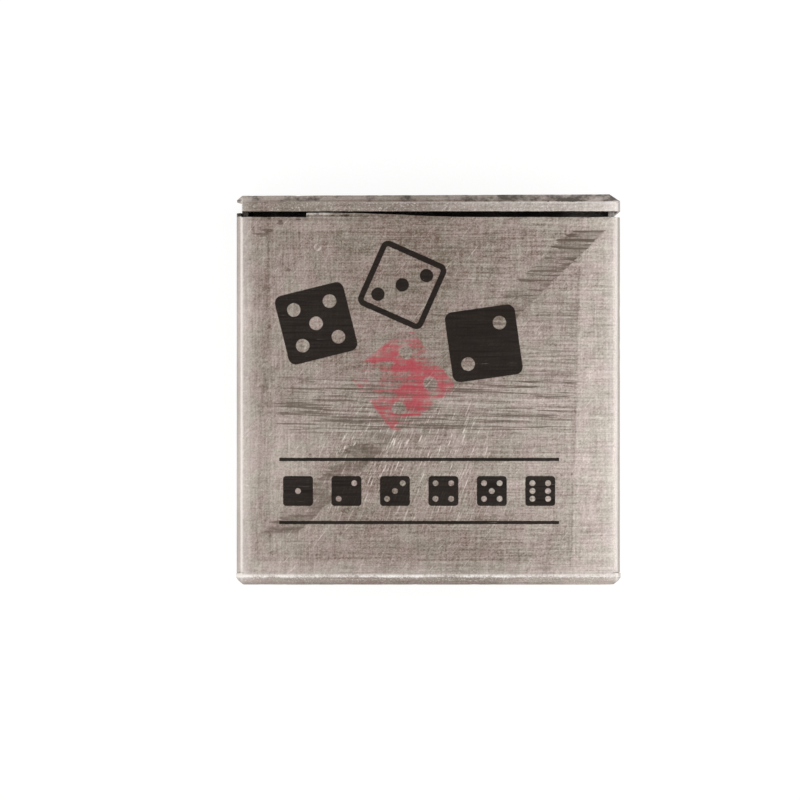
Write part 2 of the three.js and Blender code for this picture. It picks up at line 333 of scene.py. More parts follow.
def cap_relief(point):
    """The cap's end is knocked about, and stands back a little at its left."""
    at = point / MM
    end = min(1, max(0, (at.y - Y_CAP_EDGE / MM) / CAP_LEAN_RUN))
    lean = CAP_LEAN * (HALF_WIDTH / MM - at.x) / (2 * HALF_WIDTH / MM)
    return -(lean * end + nicks(at, 8.0) * (0.25 + 1.6 * end)) * MM


def ragged(x, shift):
    """How far an edge is worn back at a place along it, in metres."""
    at = Vector((x / MM, 0, 0))
    return FRAY_DEPTH * (1 + wave(at, 0.9, shift) + max(0, wave(at, 2.6, shift + 3))) * MM


def edge_fade(at):
    """Nothing at the folds and the rims, whole in the middle of the panels."""
    across = HALF_WIDTH / MM - abs(at.x)
    along = min(at.y - Y_CLOSED / MM, Y_MOUTH / MM - at.y)
    up = min(at.z, DEPTH / MM - at.z)
    nearest = sorted((abs(across), abs(along), abs(up)))[1]
    return min(1, max(0, (nearest - DENT_FROM_EDGE) / DENT_FADE)) ** 0.7


# Sleeve

def mouth_drop(x, z):
    """How far the mouth's edge lies back at a place on the section.

    The nail slot and the worn stretch end a little down the fold, and leave the walls whole.
    """
    top = z > DEPTH - SLOT_CORNER
    across = x + HALF_WIDTH
    rough = ragged(x, z / DEPTH)
    if x > HALF_WIDTH - MOUTH_CORNER + STEP / 2:
        return WEAR_DEPTH + rough
    if not top:
        return rough
    if across < SLOT_LENGTH + STEP / 2:
        return SLOT_DEPTH + rough
    if across < WEAR_FROM:
        return rough
    share = min(1, (across - WEAR_FROM) / (WEAR_TO - WEAR_FROM))
    return WEAR_DEPTH * (3 - 2 * share) * share ** 2 + rough


def sleeve_section():
    """The outer line of the strip round the case, from the seam's edge to the end of its tongue."""
    seam = -SEAM_LAP / 2
    joggle = seam - SEAM_GAP - JOGGLE_RUN
    slot = SLOT_LENGTH - HALF_WIDTH
    filed = HALF_WIDTH - MOUTH_CORNER
    cuts = [
        (filed, 0), (filed + STEP, 0), (filed, DEPTH), (filed + STEP, DEPTH),
        (slot, DEPTH), (slot + STEP, DEPTH),
        (WEAR_FROM - HALF_WIDTH, DEPTH), (WEAR_TO - HALF_WIDTH, DEPTH),
    ]
    return folded_line([
        (seam, 0, 0),
        (HALF_WIDTH, 0, SLEEVE_BEND),
        (HALF_WIDTH, DEPTH, SLEEVE_BEND),
        (-HALF_WIDTH, DEPTH, SLEEVE_BEND),
        (-HALF_WIDTH, 0, SLEEVE_BEND),
        (joggle, 0, JOGGLE_BEND),
        (seam - SEAM_GAP, SHEET, JOGGLE_BEND),
        (seam + SEAM_LAP, SHEET, 0),
    ], cuts, FINE_CELL)


def flap_half_width(y, z):
    """Half the end flap's width, with its ears, its clipped corners and its narrower fall."""
    if y > Y_EAR + STEP / 2:
        return HALF_WIDTH - SLEEVE_BEND
    clipped = HALF_WIDTH - max(0, Y_CLOSED + FLAP_CLIP - y)
    fall = (DEPTH - SHEET - z) / (SLEEVE_BEND - SHEET)
    return min(clipped, HALF_WIDTH - FLAP_INSET * min(1, max(0, fall)))


def make_sleeve():
    metal = SheetMetal()
    section = sleeve_section()
    body = spread(Y_RELIEF, Y_MOUTH - MOUTH_ROWS)
    lips = [k / 4 for k in range(5)]

    def tube_point(point, y):
        return Vector((point.x, y, point.y))

    def mouth_point(point, share):
        y_end = Y_MOUTH - mouth_drop(point.x, point.y)
        return Vector((point.x, body[-1] + (y_end - body[-1]) * share, point.y))

    metal.add(section, body, tube_point)
    metal.add(section, lips, mouth_point)

    flat = HALF_WIDTH - SLEEVE_BEND + STEP / 10
    y_back = Y_CLOSED + SHEET + SEAM_GAP
    middle = len(section) // 2
    for part in (section[:middle], section[middle:]):
        on_back = [p for p in part if p.y < DEPTH / 2 and abs(p.x) < flat]
        metal.add(on_back, spread(Y_RELIEF, y_back), tube_point)

    face = [p.x / (HALF_WIDTH - SLEEVE_BEND) for p in section if p.y > DEPTH - STEP / 10 and abs(p.x) < flat]
    flap = folded_line([
        (Y_RELIEF, DEPTH, 0),
        (Y_CLOSED + END_BEVEL, DEPTH, BEVEL_ROUND),
        (Y_CLOSED, DEPTH - END_BEVEL, BEVEL_ROUND),
        (Y_CLOSED, 0, 0),
    ], [(Y_EAR, DEPTH), (Y_EAR + STEP, DEPTH)])
    metal.grid([[Vector((share * flap_half_width(p.x, p.y), p.x, p.y)) for share in face] for p in flap])

    y_tab = Y_CLOSED + SHEET
    z_tab = DEPTH - END_BEVEL - SHEET
    tab = folded_line([
        (HALF_WIDTH, Y_RELIEF, 0),
        (HALF_WIDTH, y_tab, SLEEVE_BEND),
        (HALF_WIDTH - SLEEVE_BEND - TAB_REACH, y_tab, 0),
    ])
    for side in (1, -1):
        levels = [p.y for p in section if side * p.x > HALF_WIDTH - STEP / 10 and p.y < z_tab]
        metal.grid([[Vector((side * p.x, p.y, z)) for z in levels] for p in tab])
    return metal.piece("case_sleeve", Vector((0, 0, 1)), case_relief, inner_slot=1)


def make_pimple():
    """A dome on the face, sunk a little into it."""
    bm = bmesh.new()
    rings = 6
    sides = 24
    sphere = (PIMPLE_RADIUS ** 2 + PIMPLE_HEIGHT ** 2) / (2 * PIMPLE_HEIGHT)
    sweep = math.asin(PIMPLE_RADIUS / sphere)
    centre = Vector((PIMPLE_FROM_LEFT - HALF_WIDTH, Y_MOUTH - PIMPLE_FROM_MOUTH, DEPTH))
    base = -SHEET / 2
    levels = [(PIMPLE_RADIUS, base)]
    for k in range(rings):
        angle = sweep * (1 - k / rings)
        levels.append((sphere * math.sin(angle), PIMPLE_HEIGHT - sphere * (1 - math.cos(angle))))
    loops = []
    for radius, height in levels:
        turn = [2 * math.pi * k / sides for k in range(sides)]
        loops.append([bm.verts.new(centre + Vector((radius * math.cos(a), radius * math.sin(a), height)))
                      for a in turn])
    for low, high in zip(loops, loops[1:]):
        for k in range(sides):
            after = (k + 1) % sides
            bm.faces.new((low[k], low[after], high[after], high[k]))
    tip = bm.verts.new(centre + Vector((0, 0, PIMPLE_HEIGHT)))
    for k in range(sides):
        bm.faces.new((loops[-1][k], loops[-1][(k + 1) % sides], tip))
    bm.faces.new(list(reversed(loops[0])))
    obj = object_of("face_pimple", bm)
    obj.data.shade_smooth()
    obj.data.set_sharp_from_angle(angle=PIMPLE_ANGLE)
    return obj


# End cap

def cap_limits(y):
    """The cap's left and right ends at a distance along the case."""
    left = CAP_NOTCH - HALF_WIDTH
    if y > Y_CAP_END - CAP_CLIP_LEFT + STEP / 2:
        left = -HALF_WIDTH + (y - (Y_CAP_END - CAP_CLIP_LEFT))
    right = X_CAP_FLAT
    start = Y_CAP_END - CAP_CLIP_RIGHT_DROP
    if y > start + STEP / 2:
        right = HALF_WIDTH - (y - start) * CAP_CLIP_RIGHT / CAP_CLIP_RIGHT_DROP
    return left, right


def make_cap():
    metal = SheetMetal()
    corner = Y_CAP_END - CAP_CLIP_RIGHT_DROP
    notch = Y_CAP_END - CAP_CLIP_LEFT
    cuts = [(y, z) for y in (corner, corner + STEP, notch, notch + STEP) for z in (0, DEPTH)]
    channel = folded_line([
        (Y_CAP_EDGE, 0, 0),
        (Y_CAP_END, 0, CAP_BEND),
        (Y_CAP_END, DEPTH - CAP_BEVEL, BEVEL_ROUND),
        (Y_CAP_END - CAP_BEVEL, DEPTH, BEVEL_ROUND),
        (Y_CAP_EDGE, DEPTH, 0),
    ], cuts, CELL / 3)
    shares = spread(0, 1, FINE_CELL / (2 * HALF_WIDTH))
    rows = []
    for point in channel:
        left, right = cap_limits(point.x)
        near = max(0, 1 - (point.x - Y_CAP_EDGE) / CELL)
        across = [left + (right - left) * share for share in shares]
        rows.append([Vector((x, point.x + ragged(x, 6.0) * near, point.y)) for x in across])
    metal.grid(rows)
    lip = folded_line([
        (X_CAP_FLAT, 0, 0),
        (HALF_WIDTH, 0, CAP_BEND),
        (HALF_WIDTH, DEPTH - CAP_SIDE_BEVEL, BEVEL_ROUND),
        (HALF_WIDTH - CAP_SIDE_BEVEL, DEPTH, BEVEL_ROUND),
        (X_CAP_FLAT, DEPTH, 0),
    ])
    runs = [row[-1].y for row, p in zip(rows, channel) if p.y < STEP / 10 and p.x < corner + STEP / 2]
    metal.grid([[Vector((p.x, y, p.y)) for p in lip] for y in runs])
    return metal.piece("drawer_cap", Vector((0, 0, 1)), cap_relief, inner_slot=1)


# Tray

def make_tray():
    metal = SheetMetal()
    half = tray_high.x
    floor = tray_low.z
    top = tray_high.z
    back = tray_low.y
    front = tray_high.y
    inset = TRAY_BEND + TRAY_CORNER_GAP
    lapped = half - SHEET
    flat = lapped - TRAY_BEND
    section = folded_line([
        (-half, top, 0),
        (-half, floor, TRAY_BEND),
        (half, floor, TRAY_BEND),
        (half, top, 0),
    ], [(-flat, floor), (flat, floor)])
    rows = [back + inset] + spread(back + inset, front - inset)[1:]
    metal.grid([[Vector((p.x, y, p.y)) for p in section] for y in rows])
    across = [p.x for p in section if p.y < floor + STEP / 10 and abs(p.x) < flat + STEP / 10]
    for edge, start, way in ((back, back + inset, -1), (front, front - inset, 1)):
        rise = folded_line([(start, floor, 0), (edge, floor, TRAY_BEND), (edge, top, 0)],
                           [(edge, floor + TRAY_BEND)])
        metal.grid([[Vector((x, p.x, p.y)) for x in across] for p in rise])
        levels = [p.y for p in rise if abs(p.x - edge) < STEP / 10]
        for side in (-1, 1):
            tab = folded_line([
                (side * flat, edge, 0),
                (side * lapped, edge, TRAY_BEND),
                (side * lapped, edge - way * TRAY_TAB_REACH, 0),
            ])
            tab = [p for i, p in enumerate(tab) if not i or (p - tab[i - 1]).length > STEP / 10]
            metal.grid([[Vector((p.x, p.y, z)) for z in levels] for p in tab])
    return metal.piece("drawer_tray", Vector((0, 0, -1)))


# Dice

PIP_GRID = {
    1: [(0, 0)],
    2: [(-1, -1), (1, 1)],
    3: [(-1, -1), (0, 0), (1, 1)],
    4: [(-1, -1), (-1, 1), (1, -1), (1, 1)],
    5: [(-1, -1), (-1, 1), (0, 0), (1, -1), (1, 1)],
    6: [(-1, -1), (-1, 0), (-1, 1), (1, -1), (1, 0), (1, 1)],
}
QUARTER = math.pi / 2
FACE_TURN = {
    1: (0, 0, 0),
    2: (QUARTER, 0, 0),
    3: (0, -QUARTER, 0),
    4: (0, QUARTER, 0),
    5: (-QUARTER, 0, 0),
    6: (2 * QUARTER, 0, 0),
}


def die_turn(number):
    return Euler(FACE_TURN[number]).to_matrix().to_4x4()


def die_mesh(size):
    """A rounded cube with painted dimples. Numbers on opposite faces add up to seven."""
    cube = bmesh.new()
    bmesh.ops.create_cube(cube, size=size)
    bmesh.ops.bevel(cube, geom=cube.edges[:], offset=DIE_EDGE, segments=DIE_EDGE_STEPS, profile=0.5,
                     affect="EDGES")
    body = object_of("die_body", cube, slots=2)
    pips = bmesh.new()
    ball = (PIP_RADIUS ** 2 + PIP_DEPTH ** 2) / (2 * PIP_DEPTH)
    pitch = PIP_PITCH_SHARE * size
    for number, places in PIP_GRID.items():
        for column, row in places:
            at = Vector((column * pitch, row * pitch, size / 2 - PIP_DEPTH + ball))
            place = die_turn(number) @ Matrix.Translation(at)
            bmesh.ops.create_uvsphere(pips, u_segments=PIP_STEPS[0], v_segments=PIP_STEPS[1], radius=ball,
                                      matrix=place)
    for face in pips.faces:
        face.material_index = 1
    cutter = object_of("die_pips", pips, slots=2)
    cut = body.modifiers.new("pips", "BOOLEAN")
    cut.object = cutter
    cut.operation = "DIFFERENCE"
    cut.solver = "EXACT"
    baked(body)
    mesh = body.data
    bpy.data.objects.remove(body)
    bpy.data.objects.remove(cutter)
    return mesh


def make_dice():
    """Sixteen dice, each turned as the frame's is, as (object, node, colour)."""
    across = 4
    low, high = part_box("ivory_die_1")
    size = high.x - low.x
    meshes = {colour: die_mesh(size) for colour in ("ivory", "red")}
    made = []
    for row in range(across):
        for column in range(across):
            colour = "red" if row >= across / 2 else "ivory"
            place = (row * across + column) % (across * across // 2) + 1
            node = f"{colour}_die_{place}"
            low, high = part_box(node)
            up = (row * 2 + column * 5) % 6 + 1
            obj = bpy.data.objects.new(f"die_{colour}_{place}", meshes[colour])
            obj.matrix_world = Matrix.Translation((low + high) / 2) @ die_turn(up)
            bpy.context.scene.collection.objects.link(obj)
            made.append((obj, node, colour))
    return made


# Leaflet

def make_leaflet():
    """One strip of paper folded to and fro. Its free margin beside the dice curls up a little."""
    step = PAPER + PAPER_GAP
    fold = step / 2
    half = (leaflet_high.y - leaflet_low.y) / 2
    middle = (leaflet_high.y + leaflet_low.y) / 2
    dice_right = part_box("ivory_die_4")[1].x
    line = []
    for panel in range(PAPER_PANELS):
        way = -1 if panel % 2 else 1
        z = leaflet_low.z + PAPER / 2 + panel * step
        end = half - PAPER / 2 - fold
        for y in spread(-way * end, way * end, 1.5 * MM):
            line.append(Vector((middle + y, z)))
        if panel < PAPER_PANELS - 1:
            for k in range(1, 8):
                angle = math.pi * k / 8
                line.append(Vector((middle + way * (end + fold * math.sin(angle)),
                                    z + fold * (1 - math.cos(angle)))))
    bm = bmesh.new()
    columns = spread(leaflet_low.x, dice_right, 2 * MM) + spread(dice_right, leaflet_high.x, 0.25 * MM)[1:]
    rows = []
    for point in line:
        row = []
        for x in columns:
            free = max(0, (x - dice_right) / (leaflet_high.x - dice_right))
            share = (point.y - leaflet_low.z) / (leaflet_high.z - leaflet_low.z)
            curl = 0.6 + 0.5 * noise.noise(Vector((point.x / MM * 0.12, share * 2, 5.0)))
            lift = PAPER_CURL * curl * free ** 1.6 * (0.3 + 0.7 * share)
            row.append(bm.verts.new((x, point.x, point.y + lift)))
        rows.append(row)
    for here, there in zip(rows, rows[1:]):
        for k in range(len(columns) - 1):
            bm.faces.new((here[k], here[k + 1], there[k + 1], there[k]))
    obj = object_of("rules_slip", bm)
    solid = obj.modifiers.new("thickness", "SOLIDIFY")
    solid.thickness = PAPER * PAPER_DRAWN
    solid.offset = 0
    return baked(obj)


# Materials. Their amounts and limits are set against the photograph.

def math_node(operation, swapped=False):
    """A method of Wire that makes a math node."""
    def method(self, other=0.0):
        sides = (other, self) if swapped else (self, other)
        return self.shader.node("ShaderNodeMath", 0, *sides, operation=operation)
    return method


class Wire:
    """A number or a vector in a node tree. Sums and products of wires make math nodes."""

    def __init__(self, shader, socket):
        self.shader = shader
        self.socket = socket

    __add__ = math_node("ADD")
    __radd__ = math_node("ADD", swapped=True)
    __sub__ = math_node("SUBTRACT")
    __rsub__ = math_node("SUBTRACT", swapped=True)
    __mul__ = math_node("MULTIPLY")
    __rmul__ = math_node("MULTIPLY", swapped=True)
    __abs__ = math_node("ABSOLUTE")
    least = math_node("MINIMUM")
    most = math_node("MAXIMUM")

    def ramp(self, low, high):
        """Nothing at low, one at high, and smooth between them. low may be the larger."""
        return self.shader.node("ShaderNodeMapRange", "Result", interpolation_type="SMOOTHSTEP",
                                Value=self, From_Min=low, From_Max=high)

    def within(self, start, full, fade, end):
        """One from full to fade, nothing before start and past end, and smooth between them."""
        return self.ramp(start, full) * self.ramp(end, fade)


class Shader:
    """A material of procedural nodes, worked out in millimetres of the object's own space."""

    def __init__(self, name):
        self.material = bpy.data.materials.new(name)
        self.material.use_nodes = True
        self.tree = self.material.node_tree
        self.tree.nodes.clear()
        space = self.tree.nodes.new("ShaderNodeTexCoord")
        self.place = self.vector("MULTIPLY", Wire(self, space.outputs["Object"]), (1 / MM, 1 / MM, 1 / MM))
        self.x, self.y, self.z = self.parts(self.place)
        self.nx, self.ny, self.nz = self.parts(Wire(self, space.outputs["Normal"]))

    def parts(self, vector):
        """The three numbers of a vector."""
        made = self.tree.nodes.new("ShaderNodeSeparateXYZ")
        self.link(vector, made.inputs[0])
        return [Wire(self, output) for output in made.outputs]

    def link(self, value, socket):
        if isinstance(value, Wire):
            self.tree.links.new(value.socket, socket)
        else:
            socket.default_value = value

    def node(self, kind, output, *values, **settings):
        """An output of a new node, whose first inputs take values.

        Names in small letters are its properties, and the others its inputs, with _ for a space.
        """
        made = self.tree.nodes.new(kind)
        for key, value in settings.items():
            if key[0].islower():
                setattr(made, key, value)
        for value, socket in zip(values, made.inputs):
            self.link(value, socket)
        for key, value in settings.items():
            if not key[0].islower():
                self.link(value, made.inputs[key.replace("_", " ")])
        return Wire(self, made.outputs[output])

    def vector(self, operation, a, b=(0, 0, 0)):
        output = "Value" if operation in ("LENGTH", "DISTANCE") else "Vector"
        return self.node("ShaderNodeVectorMath", output, a, b, operation=operation)

    def point(self, x, y, z=0.0):
        return self.node("ShaderNodeCombineXYZ", 0, x, y, z)

    def noise(self, scale, seed, detail=3.0, rough=0.6, at=None):
        """A cloudy noise round zero. scale is in turns to the millimetre, for all axes or for each."""
        scale = scale if isinstance(scale, tuple) else (scale, scale, scale)
        spot = self.vector("MULTIPLY", at or self.place, scale)
        spot = self.vector("ADD", spot, (seed, seed * 1.7, seed * 0.6))
        value = self.node("ShaderNodeTexNoise", "Fac", spot, Scale=1.0, Detail=detail, Roughness=rough)
        return value - 0.5

    def spun(self, spot, angle):
        """A place turned about the vertical by an angle in degrees."""
        return self.node("ShaderNodeVectorRotate", "Vector", rotation_type="Z_AXIS",
                         Vector=spot, Angle=math.radians(angle))

    def about(self, x, y, angle=0.0, spot=None):
        """A place seen from a point on the face, turned by an angle in degrees."""
        moved = self.vector("SUBTRACT", spot or self.place, (x, y, 0))
        moved = self.vector("MULTIPLY", moved, (1, 1, 0))
        return self.spun(moved, -angle) if angle else moved

    def colour(self, share, low, high):
        """A colour between two, by a share."""
        mixed = self.tree.nodes.new("ShaderNodeMix")
        mixed.data_type = "RGBA"
        self.link(share, mixed.inputs[0])
        for value, socket in ((low, mixed.inputs[6]), (high, mixed.inputs[7])):
            self.link(value if isinstance(value, Wire) else (*value, 1), socket)
        return Wire(self, mixed.outputs[2])

    def finish(self, colour, roughness, height, depth, **settings):
        """Closes the material. height times depth is the bump in millimetres."""
        bump = self.node("ShaderNodeBump", "Normal", Distance=depth * MM, Height=height)
        surface = self.node("ShaderNodeBsdfPrincipled", "BSDF", Base_Color=colour, Roughness=roughness,
                            Normal=bump, **settings)
        output = self.tree.nodes.new("ShaderNodeOutputMaterial")
        self.link(surface, output.inputs["Surface"])
        return self.material


def linear(red, green, blue):
    """A colour from its values on a screen, 0 to 255."""
    return tuple((v / 255 / 12.92) if v <= 10 else ((v / 255 + 0.055) / 1.055) ** 2.4
                 for v in (red, green, blue))


# Colours. Of each pair the second is a little pinker, and the tinplate drifts between the two.
TIN_DARK = (linear(103, 89, 76), linear(106, 87, 76))
TIN_LIGHT = (linear(225, 216, 205), linear(228, 214, 208))
TRAY_DARK = linear(112, 105, 99)
TRAY_LIGHT = linear(186, 179, 172)
TRAY_RIM = linear(196, 188, 180)
# Bare worn metal, and painted highlights
BARE_METAL_AND_HIGHLIGHT = linear(243, 238, 233)
SMEAR = linear(90, 77, 66)
# Grime, and painted shade on the bevels
GRIME_AND_SHADE = linear(62, 54, 48)
# Brown nicks, and painted shade and a painted shadow line at the mouth
BROWN = linear(40, 29, 21)
# Painted shade, with grime, in the tray by the cap
CAP_SHADE_AND_GRIME = linear(40, 30, 25)
INK = linear(30, 24, 20)
RED_INK = linear(176, 62, 76)
IVORY_DARK = linear(214, 200, 168)
IVORY_LIGHT = linear(240, 230, 206)
RED_DARK = linear(128, 18, 26)
RED_LIGHT = linear(182, 38, 44)
PIP_BLACK = linear(34, 30, 28)
PIP_WHITE = linear(236, 232, 222)
PAPER_DARK = linear(208, 198, 174)
PAPER_LIGHT = linear(240, 236, 222)

# For the materials, in millimetres: the case's half width, its face and its mouth
HALF = HALF_WIDTH / MM
TOP = DEPTH / MM
MOUTH = Y_MOUTH / MM
HAIR_WIDTH = 0.2

# Small dark smudges on the face, as (x, y, half width, half height)
SMUDGES = (
    (-19.2, 21.85, 0.35, 0.3), (-20.7, 22.2, 0.3, 0.2), (-16.9, 22.1, 0.4, 0.2),
    (-21.5, 20.0, 0.9, 0.3), (-20.9, 20.7, 0.7, 0.2), (-18.2, 15.6, 0.4, 0.3), (-23.2, 17.2, 0.25, 0.5),
)
# The slanting band's end at the mouth, and the direction across it
BAND_END = (19.6, 20.6)
BAND_ACROSS = (0.701, -0.713)

# The print. A die is (x, y, half width, angle, number, solid), and a rule (half length, half width, corner).
ROW_X = -1.2
ROW_Y = -13.2
ROW_PITCH = 6.3
ROW_TO_RULE = 4.1
RULE = (18.2, 0.22, 0.1)
OUTLINE = 0.75
PRINTS = [(ROW_X + (number - 3.5) * ROW_PITCH, ROW_Y, 1.95, 0, number, True) for number in PIP_GRID]
PRINTS += [
    (-14.6, 8.6, 4.6, 14, 5, True),
    (-3.4, 13.6, 4.6, -24, 3, False),
    (7.2, 6.0, 4.6, 8, 2, True),
]
RED_DIE = (-3.4, 1.2, 5.0, 38, 4, True)
DIE_CORNER_SHARE = 0.22
DIE_PITCH_SHARE = 0.52
DIE_PIP_SHARE = 0.19


def box_distance(shader, spot, half_x, half_y, round_off):
    """How far a place lies outside a rounded rectangle round the middle, in millimetres."""
    size = (half_x - round_off, half_y - round_off, 0)
    outside = shader.vector("SUBTRACT", shader.vector("ABSOLUTE", spot), size)
    outside = shader.vector("MAXIMUM", outside, (0, 0, 0))
    return shader.vector("LENGTH", outside) - round_off


def die_print(shader, spot, x, y, half, angle, number, solid):
    """A printed die face: a solid one with bare pips, or an outlined one with inked pips."""
    spot = shader.about(x, y, angle, spot)
    edge = box_distance(shader, spot, half, half, half * DIE_CORNER_SHARE)
    pips = None
    for column, row in PIP_GRID[number]:
        at = (column * half * DIE_PITCH_SHARE, row * half * DIE_PITCH_SHARE, 0)
        near = shader.vector("DISTANCE", spot, at) - half * DIE_PIP_SHARE
        pips = near if pips is None else pips.least(near)
    if solid:
        return edge.most(pips * -1)
    return (abs(edge + OUTLINE / 2) - OUTLINE / 2).least(pips)


def printed(shader):
    """The ink on the face: a generic row of die faces, three larger ones and two plain rules."""
    wobble = shader.noise((2.2, 2.2, 0.0), seed=9, detail=2.0, rough=0.5) * 0.09
    spot = shader.vector("ADD", shader.place, shader.point(wobble, wobble))
    shapes = [die_print(shader, spot, *die) for die in PRINTS]
    for y in (ROW_Y + ROW_TO_RULE, ROW_Y - ROW_TO_RULE):
        shapes.append(box_distance(shader, shader.about(ROW_X, y, spot=spot), *RULE))
    ink = shapes[0]
    for shape in shapes[1:]:
        ink = ink.least(shape)
    return ink


def hairs(shader, angle, length, seed, bend=0.0):
    """Hair scratches and the ridges between them, at an angle to the case's width, and bent."""
    at = shader.spun(shader.place, -angle)
    if bend:
        wander = shader.noise(0.05, seed=-angle, detail=1.0, rough=0.5)
        at = shader.vector("ADD", at, shader.point(wander * bend, 0.0))
    return shader.noise((1 / length, 1 / HAIR_WIDTH, 0.0), seed, detail=2.0, at=at)


def sanding(shader):
    """Sanding marks along, across and up the case, each only where the sheet runs that way."""
    across = shader.noise((0.16, 3.8, 3.8), seed=1, rough=0.65) * (1 - abs(shader.nx))
    along = shader.noise((3.8, 0.24, 3.8), seed=2, rough=0.65) * (1 - abs(shader.ny))
    grain = shader.noise(4.6, seed=3, detail=2.0, rough=0.7)
    return across, along, grain


def tin(name, inside=False):
    """Worn, sanded tinplate, with the marks of use on its face, and painted highlights and shade at its
    folds and mouth.
    """
    shader = Shader(name)
    x, y = shader.x, shader.y
    flat = abs(shader.nz)
    face = flat.ramp(0.9, 0.99) * (shader.z - TOP).ramp(-0.6, -0.4)
    across, along, grain = sanding(shader)
    clouds = shader.noise(0.1, seed=5)
    patches = shader.noise(0.55, seed=6, rough=0.65)

    # Lighter towards both sides, more so to the right, and darker at both ends.
    # Before the closed end lies a lighter stretch.
    far = (y + 4.0).most(0.0)
    near = (y + 4.0).least(0.0)
    lean = x * 0.0034 + x * x * 0.00048 - far * far * 0.00021 - near * near * 0.00015
    lean = lean + y.within(-18.0, -13.0, -6.0, -2.0) * 0.035
    tone = lean + clouds * 0.35 + patches * 0.16 + 0.26
    at_left = x.ramp(-8.0, -18.0)
    marks = across * (0.66 - at_left * 0.28) + along * (0.4 + at_left * 0.2) + grain * 0.62
    # Painted light: the walls and folds, which the lamps light less than the face, are painted a little
    # lighter.
    tone = tone + marks * (1 + x.most(0.0) * 0.02) * (0.6 + flat * 0.4) + (1 - flat) * 0.06
    if inside:
        tone = tone - 0.12
    else:
        tone = tone + face_marks(shader, face)
    tint = shader.noise(0.35, seed=7).ramp(-0.1, 0.1)
    dark, light = (shader.colour(tint, *pair) for pair in (TIN_DARK, TIN_LIGHT))
    base = shader.colour(tone.least(1.0).most(0.0), dark, light)
    if not inside:
        base = smeared(shader, base, face)
        base = worn_edges_and_highlights(shader, base, patches, grain)
        base = mouth_wear_light_and_shade(shader, base, patches, grain)
        base = inked(shader, base, face, across, grain)
    rough = 0.44 + (across + along) * 0.3 + clouds * 0.12
    height = across * 0.6 + along * 0.6 + grain * 0.5 + patches * 1.3
    return shader.finish(base, rough, height, 0.04, Metallic=0.86)


def face_marks(shader, face):
    """Lighter and darker marks on the face: a frame, stains and slanting hair scratches."""
    x, y = shader.x, shader.y
    blots = shader.noise((0.42, 0.42, 0.0), seed=12)
    skewed = shader.vector("ADD", shader.place, shader.point(y * -0.031, 0.0))
    inset = box_distance(shader, shader.about(-1.25, -0.8, spot=skewed), 20.4, 21.3, 0.2)
    frame_line = abs(inset).ramp(0.3, 0.05) * (0.5 + blots * 3).most(0.0) * y.ramp(19.0, 15.0)
    frame_line = frame_line * (0.08 + x.ramp(14.0, 18.0) * 0.85)
    left_mark = x.within(-23.0, -22.3, -21.5, -19.0) * y.within(-1.0, 5.0, 14.0, 19.0)
    frame_mark = inset.ramp(0.0, 0.3) * 0.07 - frame_line * 0.19 - x.ramp(-20.0, -21.0) * 0.07
    frame_mark = frame_mark - left_mark * 0.08

    # Curved steep scratches crowd the face's middle towards its closed end
    crowd = x.within(-17.0, -8.0, 3.0, 12.0) * y.within(-19.0, -13.0, -7.0, 2.0)
    steep = hairs(shader, 68, 2.6, seed=13, bend=22.0)
    slant = steep * (0.18 + crowd * 0.5) + hairs(shader, 31, 1.5, seed=14) * 0.3
    slant = slant + hairs(shader, 143, 1.5, seed=15) * 0.22
    bright = steep.ramp(0.1, 0.2) * (0.06 + crowd * 0.4)
    bright = bright + hairs(shader, 52, 3.5, seed=16, bend=30.0).ramp(0.17, 0.25) * 0.3
    stains = shader.noise((0.75, 1.3, 0.0), seed=17, rough=0.65).ramp(0.15, 0.24) * 0.2
    return face * (frame_mark + slant + bright - stains)


def smeared(shader, base, face):
    """Dark marks rubbed over the face: a belt of scratches across it, and a slanting band.

    The band runs from the right far corner to the left near one. Small smudges lie by the mouth.
    """
    x, y = shader.x, shader.y
    rows = shader.noise((0.11, 3.3, 0.0), seed=11, rough=0.65, at=shader.spun(shader.place, 1.5))
    belt = y.within(-6.2, -5.0, 0.7, 2.3)
    belt = belt * (x + rows * 10).ramp(-19.0, -17.5) * (x + rows * 12).ramp(20.4, 18.9)
    base = shader.colour(belt * rows.ramp(-0.04, -0.12) * face * 0.12, base, BARE_METAL_AND_HIGHLIGHT)
    belt = belt * rows.ramp(-0.01, 0.1) * 0.72
    above = x.within(8.0, 16.0, 18.9, 19.6) * y.within(-1.5, 0.5, 10.0, 13.0)
    belt = belt + above * rows.ramp(-0.04, 0.08) * 0.34

    steps = shader.noise((0.1, 2.0, 0.0), seed=18, detail=2.0)
    blots = shader.noise((0.3, 0.6, 0.0), seed=19)
    lines = shader.noise((0.14, 2.3, 0.0), seed=20, detail=2.0, rough=0.55).ramp(0.0, 0.07)
    off_band = (x - BAND_END[0]) * BAND_ACROSS[0] + (y - BAND_END[1]) * BAND_ACROSS[1]
    band = (off_band + steps * 0.8).ramp(2.45, 2.25) * (off_band + steps * 3.0).ramp(-0.95, -0.65)
    band = band * y.within(-19.1, -18.3, 20.63, 20.73)
    tip = (x + y).ramp(33.0, 37.0) + y.ramp(20.3, 20.5) * 0.9
    far = y.ramp(0.0, 12.0) * (0.1 + tip * 0.26 + steps.ramp(-0.06, 0.08) * 0.2 + lines * 0.5)
    near = y.ramp(-3.0, -8.0) * (0.06 + blots.ramp(-0.12, 0.06) * 0.42 + lines * 0.28)

    lip = (y - MOUTH).ramp(-1.4, -0.8) * x.ramp(9.0, 1.0) * (0.2 + steps * 1.6)
    fray = steps * 4 + blots * 3
    smudge = 0.0
    for at_x, at_y, wide, high in SMUDGES:
        spot = shader.vector("MULTIPLY", shader.about(at_x, at_y), (1 / wide, 1 / high, 0))
        smudge = (shader.vector("LENGTH", spot) + fray).ramp(1.0, 0.5) + smudge
    dark = belt + band * (far + near) + lip.most(0.0) + smudge * 0.7
    return shader.colour(dark.least(0.9) * face, base, SMEAR)


